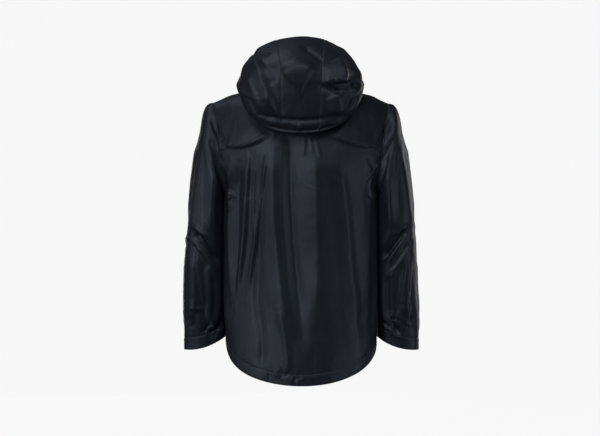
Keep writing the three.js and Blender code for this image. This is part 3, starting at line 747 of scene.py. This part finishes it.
def cloth_material(name, dark, light, rough, weave_mm, weave_depth, sheen, specular=0.5):
    """Woven cloth: a fine over-and-under weave, cloudy colour, a crinkled laminate and paler worn edges."""
    tree, shader = new_material(name, rough, Sheen_Weight=sheen, Sheen_Roughness=0.45,
                                Sheen_Tint=(0.75, 0.87, 1, 1), Specular_IOR_Level=specular,
                                Specular_Tint=(0.72, 0.85, 1, 1))
    link = tree.links.new
    uv = node(tree, "ShaderNodeUVMap", uv_map="cloth")
    scale = 1000.0 / weave_mm / WAVE_TURN * 2
    weave = node(tree, "ShaderNodeMath", operation="MULTIPLY")
    for k, way in enumerate("XY"):
        thread = node(tree, "ShaderNodeTexWave", bands_direction=way, Scale=scale, Distortion=0.0)
        link(uv.outputs[0], thread.inputs["Vector"])
        link(thread.outputs["Fac"], weave.inputs[k])
    cloud = noise(tree, uv.outputs[0], 9.0, 5.0, 0.6)
    grain = noise(tree, uv.outputs[0], 420.0, 2.0, 0.5)
    tone = node(tree, "ShaderNodeMath", operation="MULTIPLY_ADD")
    tone.inputs[1].default_value = 0.7
    link(cloud.outputs["Fac"], tone.inputs[0])
    grain_part = node(tree, "ShaderNodeMath", operation="MULTIPLY")
    grain_part.inputs[1].default_value = 0.3
    link(grain.outputs["Fac"], grain_part.inputs[0])
    link(grain_part.outputs[0], tone.inputs[2])
    ramp = colour_ramp(tree, dark, light, 0.32, 0.68)
    link(tone.outputs[0], ramp.inputs["Fac"])
    wear = node(tree, "ShaderNodeAttribute", attribute_name="wear")
    scuff = node(tree, "ShaderNodeMath", operation="MULTIPLY")
    link(wear.outputs["Fac"], scuff.inputs[0])
    link(cloud.outputs["Fac"], scuff.inputs[1])
    worn = node(tree, "ShaderNodeMix", data_type="RGBA")
    link(scuff.outputs[0], worn.inputs[0])
    link(ramp.outputs["Color"], worn.inputs[6])
    worn.inputs[7].default_value = (*(WORN_PALER * c for c in light), 1)
    link(worn.outputs[2], shader.inputs["Base Color"])
    vary_gloss(tree, shader, cloud, rough - 0.06, rough + 0.08)
    bump = node(tree, "ShaderNodeBump", Strength=0.5, Distance=weave_depth * MM)
    link(weave.outputs[0], bump.inputs["Height"])
    warped = noise(tree, uv.outputs[0], 22.0, 3.0, 0.6)
    push = node(tree, "ShaderNodeVectorMath", operation="MULTIPLY_ADD")
    push.inputs[1].default_value = (0.03, 0.03, 0.0)
    link(warped.outputs["Color"], push.inputs[0])
    link(uv.outputs[0], push.inputs[2])
    crinkle = node(tree, "ShaderNodeTexVoronoi", feature="F1", Scale=34.0)
    link(push.outputs[0], crinkle.inputs["Vector"])
    soft = node(tree, "ShaderNodeBump", Strength=0.55, Distance=CRINKLE_DEPTH * MM)
    link(crinkle.outputs["Distance"], soft.inputs["Height"])
    link(bump.outputs["Normal"], soft.inputs["Normal"])
    link(soft.outputs["Normal"], shader.inputs["Normal"])


def solid_material(name, dark, light, rough, metallic=0.0, scale=300.0, depth=0.05):
    """Moulded or painted trim: a fine grain in colour, gloss and height, from the object's own place."""
    tree, shader = new_material(name, rough, Metallic=metallic)
    link = tree.links.new
    place = node(tree, "ShaderNodeTexCoord")
    mottle = noise(tree, place.outputs["Object"], scale, 4.0, 0.6)
    ramp = colour_ramp(tree, dark, light, 0.0, 1.0)
    link(mottle.outputs["Fac"], ramp.inputs["Fac"])
    link(ramp.outputs["Color"], shader.inputs["Base Color"])
    vary_gloss(tree, shader, mottle, rough - 0.08, rough + 0.08)
    bump = node(tree, "ShaderNodeBump", Strength=0.4, Distance=depth * MM)
    link(mottle.outputs["Fac"], bump.inputs["Height"])
    link(bump.outputs["Normal"], shader.inputs["Normal"])


def make_materials():
    cloth_material("shell", (0.0082, 0.0112, 0.0168), (0.0118, 0.0156, 0.0222), 0.45, 0.55, 0.12, 0.015)
    cloth_material("lining", (0.010, 0.011, 0.014), (0.017, 0.018, 0.022), 0.8, 0.8, 0.2, 0.1, 0.3)
    cloth_material("trim_cloth", (0.008, 0.009, 0.011), (0.014, 0.015, 0.018), 0.6, 0.7, 0.2, 0.1, 0.4)
    cloth_material("tape", (0.008, 0.009, 0.011), (0.015, 0.016, 0.019), 0.65, 1.1, 0.25, 0.1, 0.4)
    solid_material("thread", (0.010, 0.012, 0.016), (0.022, 0.025, 0.031), 0.6, 0.0, 900.0, 0.02)
    solid_material("slider_paint", (0.012, 0.013, 0.015), (0.03, 0.031, 0.034), 0.34, 0.6, 500.0, 0.03)
    solid_material("moulded", (0.008, 0.009, 0.010), (0.016, 0.017, 0.019), 0.5, 0.0, 700.0, 0.05)
    solid_material("coil", (0.006, 0.006, 0.007), (0.014, 0.014, 0.016), 0.42, 0.0, 800.0, 0.03)
    solid_material("elastic", (0.007, 0.008, 0.009), (0.016, 0.017, 0.019), 0.75, 0.0, 900.0, 0.12)


# ---- The jacket ----
SIDES = (("left", 1), ("right", -1))


def strip_between(face, s_from, s_to, low, high):
    """A body panel: u runs from s_from to s_to, v from the seam low(s) to the seam high(s)."""
    def point_at(u, v):
        s = np.clip(lerp(s_from, s_to, u), -1, 1)
        even = lerp(to_even(low(s)), to_even(high(s)), v)
        return body_point(face, s, np.clip(from_even(even), -1, 1))
    return point_at


def around_hem_cord(u, v):
    """The back hem tunnel's inner wall bulges round the elastic cord, and closes short of the cord locks."""
    across = np.exp(-((v - 0.5) / 0.26) ** 4)
    return HEM_TUNNEL_DEPTH * across * smooth((0.4 - np.abs(u - 0.5)) / 0.02)


def make_body():
    panel("back_panel", strip_between(1, -SEAM_S, SEAM_S, back_band, back_yoke_v), -1, (560, 640),
          ALL_EDGES, [BACK], laps=["v1"])
    panel("back_neck_panel", strip_between(1, -NECK_S, NECK_S, lambda s: back_yoke_v(0 * s), level(1.0)),
          -1, (156, 112), ALL_EDGES, [BACK], laps=["u0", "u1"])
    panel("back_hem_tunnel", strip_between(1, -SEAM_S, SEAM_S, level(-1.0), back_band), -1, (560, 30),
          ALL_EDGES, [BACK], cloth=2.2, lift=0.4, step=3.0, laps=["v1"], tunnel=around_hem_cord)
    front_s = FRONT_EDGE / NARROWEST_SPREAD
    chest_v = 1 - FRONT_YOKE_ANGLE / 180
    for label, side in SIDES:
        panel(f"{label}_back_yoke", strip_between(1, side * NECK_S, side * SEAM_S, back_yoke_v,
              level(SEAM_S)), -side, (185, 185), ALL_EDGES, [BACK], lift=0.5)
        panel(f"{label}_front_yoke", strip_between(-1, side * front_s, side * SEAM_S, level(chest_v),
              level(SEAM_S)), side, (240, 150), ALL_EDGES, [FRONT], lift=0.5)
        panel(f"{label}_front_panel", strip_between(-1, side * front_s, side * SEAM_S, front_band,
              level(chest_v)), side, (240, 560), ALL_EDGES, [FRONT], laps=["v1"])
        panel(f"{label}_front_hem_tunnel", strip_between(-1, side * front_s, side * SEAM_S, level(-1.0),
              front_band), side, (240, 30), ALL_EDGES, [FRONT], cloth=2.2, lift=0.4, step=3.0, laps=["v1"])


def make_sleeve(label, side):
    arm, fore = f"{label}_upper_arm", f"{label}_forearm"
    faces = [BACK, FRONT, LEFT if side > 0 else RIGHT]
    down = np.array([0.97 * side, 0, -0.243])

    def tube(ring_from, ring_to, phi_from, phi_to):
        def point_at(u, v):
            ring = lerp(ring_from, ring_to, v)
            return sleeve_point(side, ring, lerp(phi_from(ring), phi_to(ring), u))
        return point_at

    whole = (level(-math.pi), level(math.pi))
    under = np.array([207 * side, 0, -268])
    panel(f"{label}_upper_sleeve", tube(0.0, ELBOW_RING, *whole), -side, (420, 330), ["v0"], faces,
          laps=["v0"], blend=(arm, under + down, under + down * 30))
    bend = (fore, (260 * side, -10, -399), (260 * side, -10, -470))
    panel(f"{label}_forearm_outer", tube(ELBOW_RING, CUFF_RING, forearm_front_seam, forearm_back_seam),
          -side, (160, 240), ["u0", "u1", "v1"], faces, arm, blend=bend)
    panel(f"{label}_forearm_under", tube(ELBOW_RING, CUFF_RING, forearm_back_seam,
          lambda ring: forearm_front_seam(ring) + 2 * math.pi), -side, (240, 220), ["u0", "u1", "v1"],
          faces, arm, blend=bend, laps=["u0", "u1"])
    panel(f"{label}_cuff", tube(CUFF_RING, LAST_RING, *whole), -side, (290, 32), ["v0", "v1"], faces, fore,
          cloth=2.2, lift=0.5, step=3.0, laps=["v0"])
    tab = tube(9.25, 9.8, level(math.radians(-80)), level(math.radians(-18)))
    panel(f"{label}_cuff_tab", tab, -side, (58, 20), ALL_EDGES, [], f"{label}_tab", lift=2.2, cloth=1.4,
          step=2.5, relief=0.0, pucker=0.0, outer="moulded", inner="moulded", slot="moulded_trim")


def make_hood():
    def strip(u, v):
        a = LAST_ARCH * v
        return hood_point(a, lerp(-1, 1, u) * strip_edge(a))

    panel("hood_centre_panel", strip, 1, (130, 560), ALL_EDGES, [HOOD_BACK], "hood", stretch=1.3,
          laps=["u0", "u1"])
    for label, side in SIDES:
        def cheek(u, v, side=side):
            a = LAST_ARCH * v
            return hood_point(a, side * lerp(strip_edge(a), 1, u))
        panel(f"hood_{label}_panel", cheek, side, (300, 480), ALL_EDGES,
              [HOOD_BACK, HOOD_LEFT if side > 0 else HOOD_RIGHT], "hood", stretch=1.3)
    panel("hood_face_binding", lambda u, v: hood_point(lerp(-0.2, 0.0, v), lerp(-0.95, 0.95, u)), 1,
          (470, 9), ["v0", "v1"], [], "hood", lift=0.6, cloth=2.2, step=3.0, relief=0.4, turned=5.5,
          outer="trim_cloth", inner="trim_cloth", slot="elastic")

    def peak(u, v):
        w = lerp(-0.97, 0.97, u)
        reach = 0.12 + 0.42 * np.cos(w * math.pi / 2) ** 0.8
        return hood_point(-0.2 - reach * v, w * 0.36)
    panel("hood_peak", peak, -1, (190, 26), ALL_EDGES, [], "hood", lift=0.6, cloth=2.4, step=3.0, relief=0.4)
    panel("hood_adjuster_patch", lambda u, v: hood_point(lerp(6.4, 6.95, v), lerp(-0.5, -0.2, u)), 1,
          (100, 30), ALL_EDGES, [HOOD_BACK], "hood", lift=1.3, cloth=0.9, step=3.0, stretch=1.3,
          inner="shell", slot="moulded_trim")


def make_neck_gusset():
    """A soft strip that joins the neckline to the hood's foot."""
    normal = np.array([0, 0.332, 0.943])

    def strip(u, v):
        turn = lerp(-1, 1, u)
        a = LAST_ARCH * (1 - np.abs(turn))
        foot = between(HOOD, a)[..., 2:5]
        x = foot[..., 0] * np.sign(turn) * np.minimum(1, np.abs(turn) / 0.06)
        middle = np.stack([x, foot[..., 1] + 10], -1)
        inward = -middle / np.maximum(np.linalg.norm(middle, axis=-1, keepdims=True), 1e-6)
        tuck = (3.5 + 2.5 * np.sin(v * math.pi))[..., None] * inward
        point = np.stack([x + tuck[..., 0], foot[..., 1] + tuck[..., 1], foot[..., 2]], -1)
        return point + normal * lerp(-15, 13, v)[..., None]

    panel("neck_gusset", strip, 1, (480, 28), [], [], blend=("hood", normal * 32, normal * 45), step=3.5,
          relief=0.5, outer="lining", cloth=0.9, node=NO_NODE)


def make_collar():
    for label, side in SIDES:
        def stand(u, v, side=side):
            top = between(HOOD, 4 * u)[..., 2:5]
            x = lerp(FRONT_EDGE + 1, NECK_X - 1.0, u)
            s = np.arcsin(x * math.sin(TOP_ARM_ANGLE) / ARM_X_TOP) / TOP_ARM_ANGLE
            base = body_point(-1, s, np.ones_like(s))
            upper = np.stack([np.maximum(FRONT_EDGE + 1, top[..., 0]), top[..., 1], top[..., 2] - 0.8], -1)
            return lerp(base, upper, v[..., None]) * np.array([side, 1, 1])
        panel(f"{label}_collar", stand, side, (120, 70), ["u0", "v0", "v1"], [FRONT], lift=0.3)

    def back_stand(u, v):
        turn = lerp(-1.3, 1.3, u)
        return np.stack([70 * np.sin(turn), 81 * np.cos(turn), lerp(-6, 46, v)], -1)
    panel("inner_back_collar", back_stand, -1, (190, 52), ["v0", "v1"], [], relief=0.5, outer="lining",
          slot="lining_cloth")


def zip_teeth(name, low, along, outward, length, half, pitch, rise):
    """Two rows of interlocking teeth along a line, each a bar with a rounded head."""
    cross = np.cross(along, outward)
    verts, faces = [], []
    head = [(-1, 0), (-0.75, 0.8), (0.1, 1), (0.45, 0.6), (0.45, -0.1), (-1, -0.1)]
    for k in range(int(length / pitch)):
        side = 1 if k % 2 else -1
        centre = low + along * (k + 0.5) * pitch
        start = len(verts)
        for end in (-0.34, 0.34):
            for x, z in head:
                verts.append(centre - cross * side * x * half + outward * z * rise + along * end * pitch)
        count = len(head)
        for j in range(count):
            nxt = (j + 1) % count
            quad = (start + j, start + nxt, start + count + nxt, start + count + j)
            faces.append(quad if side > 0 else quad[::-1])
        caps = (tuple(start + j for j in range(count))[::-1], tuple(start + count + j for j in range(count)))
        faces += caps if side > 0 else tuple(c[::-1] for c in caps)
    obj = mesh_object(name, to_frame(verts), faces, [MATERIALS["coil"]], [0] * len(faces))
    obj.data.polygons.foreach_set("use_smooth", np.zeros(len(obj.data.polygons), bool))
    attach(obj, "torso")
    return obj


def make_neck_trim():
    """The webbing loop that the jacket hangs by, and the blank sewn patch under it."""
    def loop(u, v):
        x = lerp(-27, 27, u)
        return np.stack([x, LOOP_Y - 1.4 + 5.6 * smooth(np.abs(x) / 27), lerp(-4.4, 4.4, v)], -1)
    panel("hanger_loop", loop, 1, (56, 9), [], [], cloth=1.4, step=1.5, relief=0.0, turned=1.4,
          outer="tape", inner="tape", slot="elastic")

    def patch(u, v):
        turn = lerp(-0.3, 0.3, u)
        return np.stack([70 * np.sin(turn), 81 * np.cos(turn), lerp(14, 34, v)], -1)
    panel("neck_patch", patch, 1, (42, 20), ALL_EDGES, [], lift=3.7, cloth=0.8, step=2.0, relief=0.0,
          pucker=0.1, outer="trim_cloth", inner="trim_cloth", slot="elastic", node="neck_label")


ZIP_TAPE = {"relief": 0.0, "pucker": 0.0, "outer": "tape", "inner": "tape", "slot": "zip_tape"}


def front_line(z):
    return -(ZIP_DEPTH - ZIP_LEAN * z)


def make_zips():
    for label, side in SIDES:
        def tape(u, v, side=side):
            z = lerp(ZIP_BOTTOM, ZIP_TOP, v)
            return np.stack([side * lerp(0.3, 17, u), front_line(z), z], -1)
        panel(f"{label}_zip_tape", tape, side, (17, ZIP_TOP - ZIP_BOTTOM), ["u0"], [], lift=-0.9,
              cloth=0.8, step=3.2, **ZIP_TAPE)
    low = np.array([0, front_line(ZIP_BOTTOM + 6), ZIP_BOTTOM + 6])
    along = np.array([0, ZIP_LEAN, 1]) / math.hypot(1, ZIP_LEAN)
    outward = np.array([0, -1, ZIP_LEAN]) / math.hypot(1, ZIP_LEAN)
    teeth = zip_teeth("zip_coil_teeth", low - outward * 0.9, along, outward, ZIP_TOP - ZIP_BOTTOM - 6,
                      3.0, 2.3, 1.5)
    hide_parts("zip_coil")
    for name, s, v_from, v_to in (
            ("left_hand_pocket", 0.4, -0.88, -0.42),
            ("right_hand_pocket", -0.4, -0.88, -0.42),
            ("chest_pocket", 0.24, -0.12, 0.36)):
        low, high = body_point(-1, s, v_from), body_point(-1, s, v_to)
        length = float(np.linalg.norm(high - low))
        along = (high - low) / length
        middle = (v_from + v_to) / 2
        side_step = body_point(-1, s + 0.001, middle) - body_point(-1, s - 0.001, middle)
        normal = np.cross(side_step, along)
        normal *= (-1 if normal[1] > 0 else 1) / np.linalg.norm(normal)
        cross = np.cross(along, normal)

        def strip(u, v, low=low, along=along, cross=cross, length=length):
            return low + along * (v * length)[..., None] + cross * lerp(-6, 6, u)[..., None]
        facing = np.cross(cross, along) @ normal
        panel(f"{name}_zip_tape", strip, 1 if facing > 0 else -1, (12, length), ["u0", "u1"], [],
              lift=2.1, cloth=1.0, step=2.4, node=f"{name}_zip", **ZIP_TAPE)
        zip_teeth(f"{name}_zip_teeth", low + along * 3 + normal * 2.0, along, normal, length - 6,
                  2.1, 1.9, 1.0)


def dress_cad():
    """Hard trim keeps its CAD shape, with softened edges and a grained finish."""
    looks = {"slider_metal": "slider_paint", "moulded_trim": "moulded", "zip_tape": "elastic",
             "zip_coil": "coil", "elastic": "elastic", "lining_cloth": "lining", "shell_cloth": "shell"}
    slots = {row["node"]: row["material_slot"] for row in frame["record"]["subparts"]}
    for name, obj in frame["nodes"].items():
        obj.data.materials.clear()
        obj.data.materials.append(MATERIALS[looks[slots[name]]])
        if not obj.hide_render:
            bevel = obj.modifiers.new("soft_edges", "BEVEL")
            bevel.width = 0.0003
            bevel.segments = 2
            bevel.limit_method = "ANGLE"


def make_stage():
    steps = 64
    profile = [(0, -1.15), (6, -1.15), (7.2, -0.95), (8.1, -0.4), (8.5, 0.6), (8.6, 3.0), (8.6, 9.0),
               (0, 9.2)]
    verts = [(r * math.cos(2 * math.pi * k / steps), r * math.sin(2 * math.pi * k / steps), z)
             for r, z in profile for k in range(steps)]
    faces = [(j * steps + k, j * steps + (k + 1) % steps, (j + 1) * steps + (k + 1) % steps,
              (j + 1) * steps + k) for j in range(len(profile) - 1) for k in range(steps)]
    new_material("pale_paper", 1.0, Base_Color=(0.02, 0.02, 0.02, 1), Specular_IOR_Level=0.0,
                 Emission_Color=(1, 1, 1, 1), Emission_Strength=0.93)
    studio = mesh_object("studio", verts, faces, [MATERIALS["pale_paper"]], [0] * len(faces))
    studio.visible_diffuse = False
    studio.visible_glossy = False
    studio.visible_shadow = False


def area_light(name, place, target, size, watts):
    light = bpy.data.lights.new(name, "AREA")
    light.shape = "RECTANGLE"
    light.size, light.size_y = size
    light.energy = watts
    obj = bpy.data.objects.new(name, light)
    obj.location = place
    direction = np.array(target) - np.array(place)
    obj.rotation_euler = Vector(direction).to_track_quat("-Z", "Y").to_euler()
    bpy.context.scene.collection.objects.link(obj)


def make_lights():
    world = bpy.data.worlds.new("studio_air")
    bpy.context.scene.world = world
    world.use_nodes = True
    world.node_tree.nodes["Background"].inputs["Color"].default_value = (1, 1, 1, 1)
    world.node_tree.nodes["Background"].inputs["Strength"].default_value = 0.035
    centre = (0, 0, -0.3)
    for row in (
            ("left_key", (2.3, 3.4, 0.6), centre, (1.1, 2.6), 51),
            ("left_edge", (2.9, 0.7, -0.4), centre, (0.7, 2.4), 9),
            ("right_edge", (-2.5, 1.1, -0.95), (0, 0, -0.5), (0.8, 1.6), 10),
            ("top", (0.2, 2.5, 2.5), (0, 0, -0.1), (1.8, 1.2), 24),
            ("top_right", (-1.5, 2.5, 2.3), (0, 0, 0), (0.8, 0.8), 9),
            ("crown", (1.0, -0.5, 2.3), (0, 0, 0.1), (0.9, 0.9), 7),
            ("front", (0.8, -4.0, -0.2), centre, (2.0, 2.0), 24),
            ("front_strip", (-2.6, -2.6, 0.0), centre, (0.5, 2.2), 14)):
        area_light(*row)
    bpy.context.scene.view_settings.view_transform = "Standard"


def make_camera():
    camera = bpy.data.cameras.new("camera")
    camera.lens = 120
    camera.sensor_width = 36
    obj = bpy.data.objects.new("camera", camera)
    obj.location = (0.0027, 5.36, -0.3186)
    obj.rotation_euler = (math.radians(90), 0, math.radians(180))
    bpy.context.scene.collection.objects.link(obj)
    bpy.context.scene.camera = obj


make_camera()
make_materials()
make_body()
for label, side in SIDES:
    make_sleeve(label, side)
make_hood()
make_neck_gusset()
make_collar()
make_neck_trim()
make_zips()
dress_cad()
make_stage()
make_lights()
